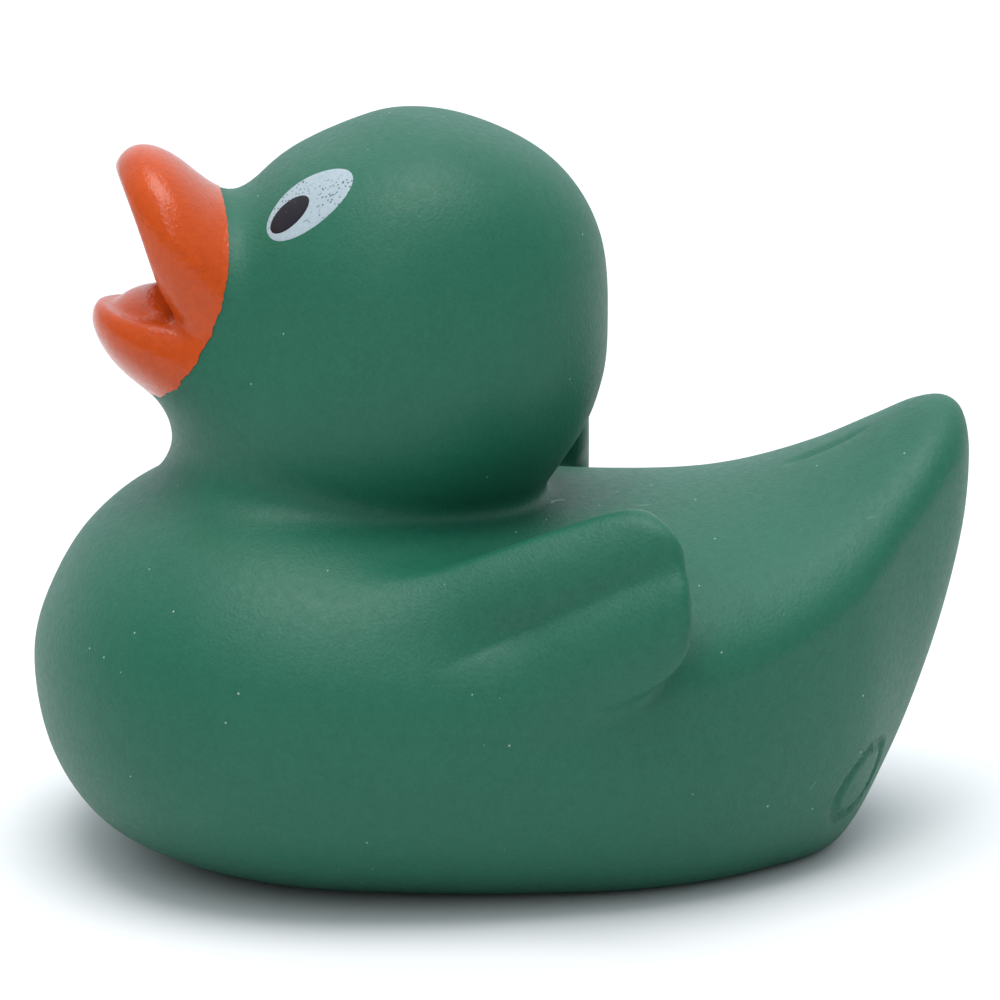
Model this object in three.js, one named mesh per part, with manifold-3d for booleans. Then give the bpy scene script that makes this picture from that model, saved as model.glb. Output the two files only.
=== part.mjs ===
// Rubber duck bath toy: a hollow soft-vinyl duck with a painted bill, printed eyes
// and a reed squeaker pressed into its base.
//
// Millimetres. +Z up, the duck looks along -Y, +X is its left side. The origin is on
// the floor under the middle of the body.
//
// The duck's outside is one smooth formula, skin(): negative inside, positive outside
// and close to the true distance in between. Every moulded or printed surface is that
// formula moved in by some depth, so the coat and the prints sit in matching recesses.

import * as THREE from 'three';
import Module from 'manifold-3d';

const wasm = await Module();
wasm.setup();

// ---------------------------------------------------------------- driving dimensions

const HALF_LENGTH = 42.3;        // breast and tail tip, either side of the origin
const HEAD_TOP = 66.5;
const HEAD_FOOT = 31;            // where the head shape ends, inside the body
const WALL = 2.2;                // vinyl thickness
const BASE_WALL = 2.4;
const MOUTH_BALL = { centre: [0, -30, 51], radius: 9 };      // kept solid behind the mouth
const GAP = 0.3;                 // clearance between neighbouring pieces

const PAINT = 0.4;               // bill coat
const PRINT = 0.3;               // eye prints

// Body sections along the length, at angles of a half turn from breast (0) to tail (180):
// angle, top, height of the widest line, bottom, half width, upper and lower fullness.
const BODY = [
  [0, 17.4, 17.4, 17.4, 0.0, 2.0, 2.0],
  [15, 22.9, 17.2, 9.6, 10.8, 2.1, 2.1],
  [30, 29.3, 16.8, 3.8, 19.6, 2.2, 2.2],
  [45, 33.7, 16.8, 0.5, 25.6, 2.3, 2.3],
  [60, 35.2, 16.8, -1.4, 29.2, 2.3, 2.4],
  [75, 34.2, 17.0, -2.2, 30.6, 2.3, 2.5],
  [90, 32.6, 17.8, -2.6, 30.3, 2.2, 2.7],
  [105, 31.7, 19.4, -2.8, 28.6, 2.1, 2.9],
  [120, 32.4, 22.0, -2.6, 24.6, 1.9, 2.8],
  [135, 35.2, 26.0, -0.4, 18.6, 1.8, 2.5],
  [145, 37.5, 30.0, 6.0, 13.6, 1.8, 2.05],
  [155, 39.2, 32.8, 14.7, 9.6, 1.9, 2.0],
  [165, 39.3, 34.2, 23.3, 6.2, 2.0, 2.0],
  [172, 38.1, 34.6, 28.4, 3.6, 2.0, 2.0],
  [180, 34.8, 34.8, 34.8, 0.0, 2.0, 2.0],
];

// Head sections down from the crown (0) to the foot (90): angle, front, back, half width.
const HEAD = [
  [0, -8.8, -8.8, 0.0],
  [15, -13.2, -1.6, 9.2],
  [30, -20.3, 4.8, 14.8],
  [45, -24.8, 8.4, 17.8],
  [60, -27.0, 9.2, 18.9],
  [70, -28.5, 8.8, 18.6],
  [77, -29.2, 7.4, 17.3],
  [83, -29.2, 5.2, 15.3],
  [90, -28.4, 2.2, 12.2],
];
const HEAD_FULLNESS = 2.15;
const TIP_PULL = 50;             // how fast both forms rise past their ends
const THIN = 1e-3;               // the least radius of a section, at the tips

// Ellipsoids: centre, radii, and the lift of the rear end in degrees.
const UPPER_BILL = { centre: [0, -27.6, 53.7], radii: [10.2, 5.0, 11.4], tilt: 28.5 };
const LOWER_BILL = { centre: [0, -27.9, 45.2], radii: [9.4, 9.5, 4.25], tilt: -28 };
const PALATE = { centre: [0, -33.6, 55.4], radii: [7.3, 3.8, 7.0], tilt: 26 };
const SCOOP = { centre: [0, -31.2, 50.6], radii: [6.9, 4.2, 3.0], tilt: -17 };
const TONGUE = { centre: [0, -29.2, 46.7], radii: [7.4, 6.4, 4.6], tilt: -18 };
const MOUTH_CORNER = { y: -29.9, z: 49.9, upper: [0.91, 0.42], lower: [-0.27, -0.96] };
const LIP_CURVE = { bulge: 1.1, middle: 7.2 };      // the upper lip's, and its distance from the corner

// The two feather lobes of a wing, top to bottom.
const FEATHERS = [
  { centre: [25.0, 4.8, 31.0], radii: [4.7, 27.0, 5.2], tilt: 19.5 },
  { centre: [27.4, 6.5, 25.1], radii: [4.7, 19.0, 5.6], tilt: 26 },
];
const RIDGE = { out: -0.42, up: 0.91, at: 3.75 };     // the upper feather's flat inner side
const WING_FLARE = 0.16;         // how far the lobes lean out for each mm rearwards

// A wing's rear edge: where it is at 28 mm out, its corners' radius, the heights between
// which it is straight, the slope of the lower edge, and its lean to the rear, outwards.
const WING_END = { y: 11.7, corner: 4.6, top: 32.4, bottom: 24.6, under: 0.42, sweep: 0.15, at: 28 };

const PAINT_EDGE = { y: -47, z: 58, radius: 22 };      // a large arc seen from the side

// An eye faces `out` and its long axis lies `along`; the pupil sits towards its lower end.
const EYE = { centre: [10.4, -18.5, 60.9], out: [0.41, -0.6, 0.69], along: [0.15, 0.79, 0.59] };
const WHITE_OVAL = { shift: 0, long: 4.6, short: 3.2 };
const PUPIL_OVAL = { shift: -1.9, long: 2.3, short: 1.6 };
const EYE_BOX = [[2, -27, 50], [22, -9, 70]];

// The mark on the left of the stern: a plain oval line. It faces `out`, and its top leans
// to the rear.
const MARK = {
  centre: [14.8, 30.6, 8], out: [0.6, 0.8, 0], lean: 21, wide: 4.1, high: 3.5, line: 0.8, depth: 0.35,
};
const MARK_BOX = [[6, 22, 0], [24, 39, 16]];

const SQUEAKER_Y = 2;            // the squeaker's axis on the base
const CUP_RADIUS = 7;
const CUP_WALL = 1;
const CUP_TOP = 8;
const CUP_BOTTOM = 0.6;          // the flange lies this far above the floor
const CUP_FLOOR = 1.1;
const FLANGE_RADIUS = 8.7;
const FLANGE = 0.8;
const AIR_HOLE = 1.5;            // radius
const COLLAR = { radius: 9.6, top: 6.5 };
const PLUG_RADIUS = CUP_RADIUS - CUP_WALL - GAP;
const PLUG_BOTTOM = CUP_BOTTOM + CUP_FLOOR + GAP;
const BLOCK_TOP = 10.8;
const CLAMP_TOP = 5;
const CHANNEL = { width: 2.2, depth: 1.5, top: 9.4 };
const REED = { width: 3.4, thickness: 0.25, bottom: 2.6, top: 9.9 };

// Mesh steps
const COARSE = 3.2;
const CAVITY_STEP = 5.4;
const BILL_STEP = 1.48;
const EYE_STEP = 2.2;
const MARK_STEP = 2.4;

// ---------------------------------------------------------------- small mathematics

const radians = THREE.MathUtils.degToRad;
const clamp = THREE.MathUtils.clamp;

function smoothMin(a, b, reach) {
  const h = clamp(0.5 + (0.5 * (b - a)) / reach, 0, 1);
  return b * (1 - h) + a * h - reach * h * (1 - h);
}

function smoothMax(a, b, reach) {
  return -smoothMin(-a, -b, reach);
}

// A smooth curve through the stations of one column of a section table.
function slope(table, column, i) {
  const step = (j) => (table[j + 1][column] - table[j][column]) / (table[j + 1][0] - table[j][0]);
  if (i === 0) return step(0);
  if (i === table.length - 1) return step(i - 1);
  const before = table[i][0] - table[i - 1][0];
  const after = table[i + 1][0] - table[i][0];
  return (step(i - 1) * after + step(i) * before) / (before + after);
}

function along(table, column, angle) {
  let i = 0;
  while (i < table.length - 2 && angle >= table[i + 1][0]) i += 1;
  const width = table[i + 1][0] - table[i][0];
  const t = (angle - table[i][0]) / width;
  const start = slope(table, column, i) * width;
  const end = slope(table, column, i + 1) * width;
  const hermite = THREE.MathUtils.lerp(table[i][column], table[i + 1][column], t * t * (3 - 2 * t));
  return hermite + start * t * (1 - t) * (1 - t) - end * t * t * (1 - t);
}

function turnedAboutX(y, z, degrees) {
  const c = Math.cos(radians(degrees));
  const s = Math.sin(radians(degrees));
  return [y * c + z * s, z * c - y * s];
}

function ellipsoid({ centre, radii, tilt }, x, y, z) {
  const [v, w] = turnedAboutX(y - centre[1], z - centre[2], tilt);
  const near = Math.hypot((x - centre[0]) / radii[0], v / radii[1], w / radii[2]);
  const pull = Math.hypot((x - centre[0]) / radii[0] ** 2, v / radii[1] ** 2, w / radii[2] ** 2);
  return (near * (near - 1)) / Math.max(pull, 1e-6);
}

// Divides a field by the length of its gradient, so that its value is a distance.
function asDistance(field, x, y, z) {
  const e = 0.05;
  const value = field(x, y, z);
  const dx = (field(x + e, y, z) - value) / e;
  const dy = (field(x, y + e, z) - value) / e;
  const dz = (field(x, y, z + e) - value) / e;
  return value / Math.max(Math.hypot(dx, dy, dz), 0.02);
}

// ---------------------------------------------------------------- the duck's outside

function bodyForm(x, y, z) {
  const u = (y + HALF_LENGTH) / (2 * HALF_LENGTH);
  const angle = THREE.MathUtils.radToDeg(Math.acos(clamp(1 - 2 * u, -1, 1)));
  const beyond = Math.max(-u, u - 1, 0) * 2 * HALF_LENGTH;
  const [top, wide, bottom, width, upper, lower] = [1, 2, 3, 4, 5, 6].map((c) => along(BODY, c, angle));
  const half = Math.max(width, THIN);
  const above = z > wide;
  const rise = Math.max(above ? top - wide : wide - bottom, THIN);
  const fullness = above ? upper : lower;
  const across = (Math.abs(x) / half) ** fullness + (Math.abs(z - wide) / rise) ** fullness;
  const size = Math.min(half, (top - bottom) / 2);
  return (across ** (2 / fullness) - 1) * size ** 2 + TIP_PULL * beyond;
}

function headForm(x, y, z) {
  const u = (HEAD_TOP - z) / (HEAD_TOP - HEAD_FOOT);
  const angle = THREE.MathUtils.radToDeg(Math.acos(clamp(1 - u, 0, 1)));
  const beyond = Math.max(-u, 0) * (HEAD_TOP - HEAD_FOOT);
  const [front, back, width] = [1, 2, 3].map((c) => along(HEAD, c, angle));
  const half = Math.max(width, THIN);
  const depth = Math.max((back - front) / 2, THIN);
  const across = Math.abs(x / half) ** HEAD_FULLNESS
    + Math.abs((y - front - depth) / depth) ** HEAD_FULLNESS;
  return (across ** (2 / HEAD_FULLNESS) - 1) * Math.min(half, depth) ** 2 + TIP_PULL * beyond;
}

// One feather, and how far a point is past its flat inner side.
function featherForm({ centre, radii, tilt }, x, y, z) {
  const [v, w] = turnedAboutX(y - centre[1], z - centre[2], tilt);
  const u = x - centre[0] - WING_FLARE * (y - centre[1]);
  const across = (u / radii[0]) ** 2 + Math.abs(v / radii[1]) ** 2.6 + (w / radii[2]) ** 2;
  return [(Math.sqrt(across) - 1) * Math.min(...radii), RIDGE.out * u + RIDGE.up * w - RIDGE.at];
}

// Two feathers in front of one rounded rear edge. The line between them softens rearwards.
function wingForm(x, y, z) {
  const out = Math.abs(x);
  const [[upper, inner], [lower]] = FEATHERS.map((feather) => featherForm(feather, out, y, z));
  const joined = smoothMin(smoothMax(upper, inner, 0.8), lower, clamp(0.5 + 0.12 * (y - 8), 0.5, 1.2));
  const { corner, top, bottom, under, sweep, at } = WING_END;
  const past = y - WING_END.y - sweep * (out - at) + corner;
  const beyond = Math.max(z - top, bottom - z + under * past, 0);
  return smoothMax(joined, Math.hypot(Math.max(past, 0), beyond) - corner, 1.4);
}

// Body and head only. The crease between them sharpens from the breast to the nape.
function torsoSkin(x, y, z) {
  const crease = clamp(1.8 + 0.004 * (2 - y) ** 2, 1.8, 5);
  return smoothMin(asDistance(bodyForm, x, y, z), asDistance(headForm, x, y, z), crease);
}

// Everything but the mouth.
function closedSkin(x, y, z) {
  const fillet = clamp(1.2 + 0.08 * (12 - y), 1.2, 3.2);
  const winged = smoothMin(torsoSkin(x, y, z), asDistance(wingForm, x, y, z), fillet);
  const bill = smoothMin(ellipsoid(UPPER_BILL, x, y, z), ellipsoid(LOWER_BILL, x, y, z), 4.5);
  return smoothMin(smoothMax(winged, -z, 0.6), bill, 5);
}

function skin(x, y, z) {
  const v = y - MOUTH_CORNER.y;
  const w = z - MOUTH_CORNER.z;
  const [upperY, upperZ] = MOUTH_CORNER.upper;
  const [lowerY, lowerZ] = MOUTH_CORNER.lower;
  const alongLip = Math.max(upperY * w - upperZ * v, 0);
  const curve = LIP_CURVE.bulge * (1 - (alongLip / LIP_CURVE.middle - 1) ** 2);
  const notch = smoothMax(upperY * v + upperZ * w + curve, lowerY * v + lowerZ * w, 1.2);
  const hollow = smoothMin(ellipsoid(PALATE, x, y, z), ellipsoid(SCOOP, x, y, z), 1.5);
  const open = smoothMax(smoothMax(closedSkin(x, y, z), -notch, 1.8), -hollow, 2);
  return smoothMin(open, ellipsoid(TONGUE, x, y, z), 2);
}

// The hollow inside the vinyl: one wall thickness in, and clear of the mouth.
function cavityForm(x, y, z) {
  const [, mouthY, mouthZ] = MOUTH_BALL.centre;
  const outsideMouth = MOUTH_BALL.radius - Math.hypot(x, y - mouthY, z - mouthZ);
  return Math.max(torsoSkin(x, y, z) + WALL, outsideMouth, BASE_WALL - z);
}

// ---------------------------------------------------------------- fields into solids

function gridLines(low, high, step) {
  const count = Math.ceil((high - low) / step);
  return Array.from({ length: count + 1 }, (_, i) => low + ((high - low) * i) / count);
}

function gradient(field, p, e = 0.02) {
  const [x, y, z] = p;
  return [
    (field(x + e, y, z) - field(x - e, y, z)) / (2 * e),
    (field(x, y + e, z) - field(x, y - e, z)) / (2 * e),
    (field(x, y, z + e) - field(x, y, z - e)) / (2 * e),
  ];
}

// Moves a point onto the surface field = 0.
function settle(field, point) {
  let p = point;
  for (let pass = 0; pass < 3; pass += 1) {
    const value = field(...p);
    const g = gradient(field, p);
    const size = Math.max(g[0] ** 2 + g[1] ** 2 + g[2] ** 2, 0.05);
    const step = clamp(value / size, -0.8, 0.8);
    p = p.map((c, i) => c - step * g[i]);
  }
  return p;
}

// Surface nets: one vertex in each grid cell that the surface crosses, and one quad
// across each grid edge that changes sign.
function netOf(field, box, step) {
  const lines = [0, 1, 2].map((axis) => gridLines(box[0][axis], box[1][axis], step));
  const size = lines.map((values) => values.length);
  const at = (i, j, k) => (i * size[1] + j) * size[2] + k;
  const values = new Float64Array(size[0] * size[1] * size[2]);
  lines[0].forEach((x, i) => lines[1].forEach((y, j) => lines[2].forEach((z, k) => {
    const edge = i * j * k === 0 || i === size[0] - 1 || j === size[1] - 1 || k === size[2] - 1;
    values[at(i, j, k)] = edge ? Math.max(field(x, y, z), step / 2) : field(x, y, z);
  })));
  const vertices = [];
  const cellVertex = new Map();
  const corners = [0, 1, 2, 3, 4, 5, 6, 7].map((n) => [n >> 2, (n >> 1) & 1, n & 1]);
  const cellEdges = corners.flatMap((a) => corners.map((b) => [a, b]))
    .filter(([a, b]) => b[0] - a[0] + b[1] - a[1] + b[2] - a[2] === 1)
    .filter(([a, b]) => a.every((c, axis) => c <= b[axis]));
  for (let i = 0; i < size[0] - 1; i += 1) {
    for (let j = 0; j < size[1] - 1; j += 1) {
      for (let k = 0; k < size[2] - 1; k += 1) {
        const sum = [0, 0, 0];
        let crossings = 0;
        for (const [a, b] of cellEdges) {
          const from = values[at(i + a[0], j + a[1], k + a[2])];
          const to = values[at(i + b[0], j + b[1], k + b[2])];
          if (from < 0 !== to < 0) {
            const t = from / (from - to);
            const cell = [i, j, k];
            for (let axis = 0; axis < 3; axis += 1) {
              const low = lines[axis][cell[axis] + a[axis]];
              const high = lines[axis][cell[axis] + b[axis]];
              sum[axis] += low + t * (high - low);
            }
            crossings += 1;
          }
        }
        if (crossings > 0) {
          cellVertex.set(at(i, j, k), vertices.length);
          vertices.push(sum.map((c) => c / crossings));
        }
      }
    }
  }
  const triangles = [];
  const unit = [[1, 0, 0], [0, 1, 0], [0, 0, 1]];
  for (let axis = 0; axis < 3; axis += 1) {
    const [a, b, c] = [unit[axis], unit[(axis + 1) % 3], unit[(axis + 2) % 3]];
    const start = [1 - a[0], 1 - a[1], 1 - a[2]];
    for (let i = start[0]; i < size[0] - 1; i += 1) {
      for (let j = start[1]; j < size[1] - 1; j += 1) {
        for (let k = start[2]; k < size[2] - 1; k += 1) {
          const inside = values[at(i, j, k)] < 0;
          if (inside !== values[at(i + a[0], j + a[1], k + a[2])] < 0) {
            const cell = (m, n) => cellVertex.get(
              at(i - m * b[0] - n * c[0], j - m * b[1] - n * c[1], k - m * b[2] - n * c[2]),
            );
            const ring = [cell(1, 1), cell(0, 1), cell(0, 0), cell(1, 0)];
            if (!inside) ring.reverse();
            triangles.push(ring[0], ring[1], ring[2], ring[0], ring[2], ring[3]);
          }
        }
      }
    }
  }
  return { vertices, triangles };
}

function solidFromField(field, box, step) {
  const { vertices, triangles } = netOf(field, box, step);
  const margin = 1.5 * step;
  const inner = (p) => p.every((c, i) => c > box[0][i] + margin && c < box[1][i] - margin);
  const settled = vertices.map((p) => (inner(p) ? settle(field, p) : p));
  return new wasm.Manifold(new wasm.Mesh({
    numProp: 3,
    vertProperties: new Float32Array(settled.flat()),
    triVerts: new Uint32Array(triangles),
  }));
}

// ---------------------------------------------------------------- three.js shapes into solids

function solidFromGeometry(geometry) {
  const source = geometry.index ? geometry.toNonIndexed() : geometry;
  const position = source.attributes.position;
  const keys = new Map();
  const points = [];
  const corners = [];
  for (let i = 0; i < position.count; i += 1) {
    const p = [position.getX(i), position.getY(i), position.getZ(i)];
    const key = p.map((c) => Math.round(c * 1e4)).join(' ');
    if (!keys.has(key)) {
      keys.set(key, points.length / 3);
      points.push(...p);
    }
    corners.push(keys.get(key));
  }
  const triangles = [];
  for (let i = 0; i < corners.length; i += 3) {
    const [a, b, c] = corners.slice(i, i + 3);
    if (a !== b && b !== c && c !== a) triangles.push(a, b, c);
  }
  return new wasm.Manifold(new wasm.Mesh({
    numProp: 3,
    vertProperties: new Float32Array(points),
    triVerts: new Uint32Array(triangles),
  }));
}

function geometryFromSolid(solid) {
  const mesh = solid.getMesh();
  const geometry = new THREE.BufferGeometry();
  geometry.setAttribute('position', new THREE.BufferAttribute(new Float32Array(mesh.vertProperties), 3));
  geometry.setIndex(new THREE.BufferAttribute(new Uint32Array(mesh.triVerts), 1));
  geometry.computeVertexNormals();
  return geometry;
}

function block(low, high) {
  const geometry = new THREE.BoxGeometry(high[0] - low[0], high[1] - low[1], high[2] - low[2]);
  geometry.translate((low[0] + high[0]) / 2, (low[1] + high[1]) / 2, (low[2] + high[2]) / 2);
  return solidFromGeometry(geometry);
}

// A solid of revolution about the squeaker's axis, from [radius, height] points.
function turned(profile, segments = 32) {
  const points = profile.map(([r, z]) => new THREE.Vector2(r, z));
  const geometry = new THREE.LatheGeometry(points, segments);
  geometry.rotateX(Math.PI / 2);
  geometry.translate(0, SQUEAKER_Y, 0);
  return solidFromGeometry(geometry);
}

function plug(radius, low, high) {
  return turned([[0, low], [radius, low], [radius, high], [0, high]]);
}

// An oval prism through the skin of one side of the head, square to the skin.
function eyeOval({ shift, long, short }, side, grow = 0) {
  const mirrored = ([x, y, z]) => new THREE.Vector3(side * x, y, z);
  const out = mirrored(EYE.out).normalize();
  const across = mirrored(EYE.along).cross(out).normalize();
  const lengthwise = out.clone().cross(across);
  const centre = mirrored(EYE.centre).addScaledVector(lengthwise, shift);
  const geometry = new THREE.CylinderGeometry(1, 1, 6, 28);
  geometry.scale(long + grow, 1, short + grow);
  geometry.applyMatrix4(new THREE.Matrix4().makeBasis(lengthwise, out, across).setPosition(centre));
  return solidFromGeometry(geometry);
}

// ---------------------------------------------------------------- surfaces shared by parts

const BILL_BOX = [[-14.5, -40, 38], [14.5, -17, 68]];
const BILL_PATCH = { side: 13.4, rear: -18.6, under: 39.1, overlap: 0.6 };      // finely meshed
const OUTER_BOX = [[-35, -47, -4], [35, 47, 72]];

function billSkin(depth) {
  return solidFromField((x, y, z) => asDistance(skin, x, y, z) + depth, BILL_BOX, BILL_STEP);
}

function eyeSkin(side, depth) {
  const solid = solidFromField((x, y, z) => closedSkin(x, y, z) + depth, EYE_BOX, EYE_STEP);
  return side > 0 ? solid : solid.mirror([1, 0, 0]);
}

// Everything on the bill's side of the paint edge.
function paintRegion(grow = 0) {
  const geometry = new THREE.CylinderGeometry(PAINT_EDGE.radius + grow, PAINT_EDGE.radius + grow, 40, 120);
  geometry.rotateZ(Math.PI / 2);
  geometry.translate(0, PAINT_EDGE.y, PAINT_EDGE.z);
  return solidFromGeometry(geometry);
}

// The stern mark's line, as an oval ring that runs square through the skin.
function markFrame() {
  const oval = (grow) => new THREE.EllipseCurve(0, 0, MARK.wide + grow, MARK.high + grow).getPoints(32);
  const outline = new THREE.Shape(oval(MARK.line / 2));
  outline.holes.push(new THREE.Path(oval(-MARK.line / 2)));
  const geometry = new THREE.ExtrudeGeometry(outline, { depth: 8, bevelEnabled: false });
  geometry.translate(0, 0, -4);
  const out = new THREE.Vector3(...MARK.out);
  const up = new THREE.Vector3(0, 0, 1);
  const across = up.clone().cross(out);
  geometry.rotateZ(-radians(MARK.lean));
  geometry.applyMatrix4(new THREE.Matrix4().makeBasis(across, up, out).setPosition(...MARK.centre));
  return solidFromGeometry(geometry);
}

// ---------------------------------------------------------------- parts

function bodyShell() {
  const coarse = solidFromField(closedSkin, OUTER_BOX, COARSE);
  const floor = block([-60, -60, -20], [60, 60, 0]);
  const { side, rear, under, overlap } = BILL_PATCH;
  const billBlank = block([-side, -60, under], [side, rear, 80]);
  const billBounds = block([-side - overlap, -60, under - overlap], [side + overlap, rear + overlap, 80]);
  const seat = billSkin(PAINT + GAP);
  const finish = billSkin(0);
  const bill = finish.subtract(paintRegion(GAP)).add(seat).intersect(billBounds);
  let shell = coarse.subtract(billBlank).add(bill).subtract(floor);
  shell = shell.subtract(solidFromField(cavityForm, OUTER_BOX, CAVITY_STEP));
  for (const eye of [-1, 1]) {
    shell = shell.subtract(eyeOval(WHITE_OVAL, eye, GAP).subtract(eyeSkin(eye, PRINT + GAP)));
  }
  const underMark = solidFromField((x, y, z) => closedSkin(x, y, z) + MARK.depth, MARK_BOX, MARK_STEP);
  shell = shell.subtract(markFrame().subtract(underMark));
  const hole = CUP_RADIUS + GAP;
  const recess = FLANGE_RADIUS + GAP;
  const recessTop = CUP_BOTTOM + FLANGE + GAP;
  shell = shell.add(plug(COLLAR.radius, 1, COLLAR.top));
  return shell.subtract(turned([
    [0, -2], [recess, -2], [recess, recessTop], [hole, recessTop], [hole, COLLAR.top + 3], [0, COLLAR.top + 3],
  ]));
}

function billPaint() {
  return billSkin(0).intersect(paintRegion()).subtract(billSkin(PAINT));
}

function eyeWhite(side) {
  const oval = eyeOval(WHITE_OVAL, side).subtract(eyeOval(PUPIL_OVAL, side, GAP));
  return oval.intersect(eyeSkin(side, 0)).subtract(eyeSkin(side, PRINT));
}

function pupil(side) {
  return eyeOval(PUPIL_OVAL, side).intersect(eyeSkin(side, 0)).subtract(eyeSkin(side, PRINT));
}

function squeakerHousing() {
  const inner = CUP_RADIUS - CUP_WALL;
  return turned([
    [AIR_HOLE, CUP_BOTTOM], [FLANGE_RADIUS, CUP_BOTTOM], [FLANGE_RADIUS, CUP_BOTTOM + FLANGE],
    [CUP_RADIUS, CUP_BOTTOM + FLANGE], [CUP_RADIUS, CUP_TOP], [inner, CUP_TOP],
    [inner, CUP_BOTTOM + CUP_FLOOR], [AIR_HOLE, CUP_BOTTOM + CUP_FLOOR], [AIR_HOLE, CUP_BOTTOM],
  ]);
}

// The plug in the cup is split across Y by the plane of the reed.
const REED_CLEARANCE = REED.thickness / 2 + GAP;

function reedBlock() {
  const face = SQUEAKER_Y + REED_CLEARANCE;
  const half = CHANNEL.width / 2;
  const behind = block([-10, face, 0], [10, face + 20, 20]);
  const channel = block([-half, face - 1, 0], [half, face + CHANNEL.depth, CHANNEL.top]);
  return plug(PLUG_RADIUS, PLUG_BOTTOM, BLOCK_TOP).intersect(behind).subtract(channel);
}

function reedClamp() {
  const face = SQUEAKER_Y - REED_CLEARANCE;
  return plug(PLUG_RADIUS, PLUG_BOTTOM, CLAMP_TOP).intersect(block([-10, face - 20, 0], [10, face, 20]));
}

function reed() {
  return block(
    [-REED.width / 2, SQUEAKER_Y - REED.thickness / 2, REED.bottom],
    [REED.width / 2, SQUEAKER_Y + REED.thickness / 2, REED.top],
  );
}

// ---------------------------------------------------------------- assembly

const vinyl = new THREE.MeshStandardMaterial({ color: 0x2f6f56, roughness: 0.55, metalness: 0 });
const orange = new THREE.MeshStandardMaterial({ color: 0xe8591f, roughness: 0.32, metalness: 0 });
const white = new THREE.MeshStandardMaterial({ color: 0xc9d9df, roughness: 0.5, metalness: 0 });
const black = new THREE.MeshStandardMaterial({ color: 0x2b2830, roughness: 0.5, metalness: 0 });
const plastic = new THREE.MeshStandardMaterial({ color: 0xe6e2d6, roughness: 0.4, metalness: 0 });
const film = new THREE.MeshStandardMaterial({ color: 0xf2efe4, roughness: 0.25, metalness: 0 });

function part(name, solid, material) {
  const mesh = new THREE.Mesh(geometryFromSolid(solid), material);
  mesh.name = name;
  return mesh;
}

const duck = new THREE.Group();
duck.add(part('body_shell', bodyShell(), vinyl));
duck.add(part('bill_paint', billPaint(), orange));
for (const [side, label] of [[1, 'left'], [-1, 'right']]) {
  duck.add(part(`eye_white_${label}`, eyeWhite(side), white));
  duck.add(part(`pupil_${label}`, pupil(side), black));
}
duck.add(part('squeaker_housing', squeakerHousing(), plastic));
duck.add(part('reed_block', reedBlock(), plastic));
duck.add(part('reed_clamp', reedClamp(), plastic));
duck.add(part('reed', reed(), film));

export default duck;
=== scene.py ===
"""Looks of a green soft-vinyl bath duck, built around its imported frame.

The duck's outside is one smooth formula, skin(): negative inside, positive outside and
close to the true distance near the surface. The vinyl and the bill's paint are meshes of
that formula at small offsets, and the eye prints are laid on it. Tables and formulas are
in millimetres: +X is the duck's left side, -Y its front, +Z up, and the floor is at zero.
"""

import math

import bmesh
import bpy
import numpy as np
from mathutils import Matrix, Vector


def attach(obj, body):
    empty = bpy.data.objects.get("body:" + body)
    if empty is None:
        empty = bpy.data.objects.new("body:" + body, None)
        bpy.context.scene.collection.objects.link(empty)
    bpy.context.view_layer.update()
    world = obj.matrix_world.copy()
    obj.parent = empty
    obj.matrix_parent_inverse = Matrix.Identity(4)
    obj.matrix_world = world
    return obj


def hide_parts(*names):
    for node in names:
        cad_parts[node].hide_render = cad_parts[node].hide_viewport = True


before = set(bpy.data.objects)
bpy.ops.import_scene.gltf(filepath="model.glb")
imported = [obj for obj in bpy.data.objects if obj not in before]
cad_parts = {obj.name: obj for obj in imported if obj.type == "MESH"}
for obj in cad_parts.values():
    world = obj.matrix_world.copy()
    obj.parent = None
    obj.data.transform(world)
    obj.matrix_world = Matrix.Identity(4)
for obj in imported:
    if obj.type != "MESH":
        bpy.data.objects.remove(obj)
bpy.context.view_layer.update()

MM = 0.001

# ------------------------------------------------------------------ driving dimensions

HALF_LENGTH = 42.3
HEAD_TOP = 66.5
HEAD_FOOT = 31.0                           # where the head's form has sunk into the body
DUCK_BOX = ((-33, -44, -2), (33, 44, 69))  # opposite corners of the space each mesh is made in
BILL_BOX = ((-13, -40, 38), (13, -20, 69))

# Body sections from breast (0) to tail (180): angle, top, height of the widest line,
# bottom, half width, upper and lower fullness.
BODY = np.array([
    [0, 17.4, 17.4, 17.4, 0.0, 2.0, 2.0],
    [15, 22.9, 17.2, 9.6, 10.8, 2.1, 2.1],
    [30, 29.3, 16.8, 3.8, 19.6, 2.2, 2.2],
    [45, 33.7, 16.8, 0.5, 25.6, 2.3, 2.3],
    [60, 35.2, 16.8, -1.4, 29.2, 2.3, 2.4],
    [75, 34.2, 17.0, -2.2, 30.6, 2.3, 2.5],
    [90, 32.6, 17.8, -2.6, 30.3, 2.2, 2.7],
    [105, 31.7, 19.4, -2.8, 28.6, 2.1, 2.9],
    [120, 32.4, 22.0, -2.6, 24.6, 1.9, 2.8],
    [135, 35.2, 26.0, -0.4, 18.6, 1.8, 2.5],
    [145, 37.5, 30.0, 6.0, 13.6, 1.8, 2.05],
    [155, 39.2, 32.8, 14.7, 9.6, 1.9, 2.0],
    [165, 39.3, 34.2, 23.3, 6.2, 2.0, 2.0],
    [172, 38.1, 34.6, 28.4, 3.6, 2.0, 2.0],
    [180, 34.8, 34.8, 34.8, 0.0, 2.0, 2.0],
])

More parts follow.
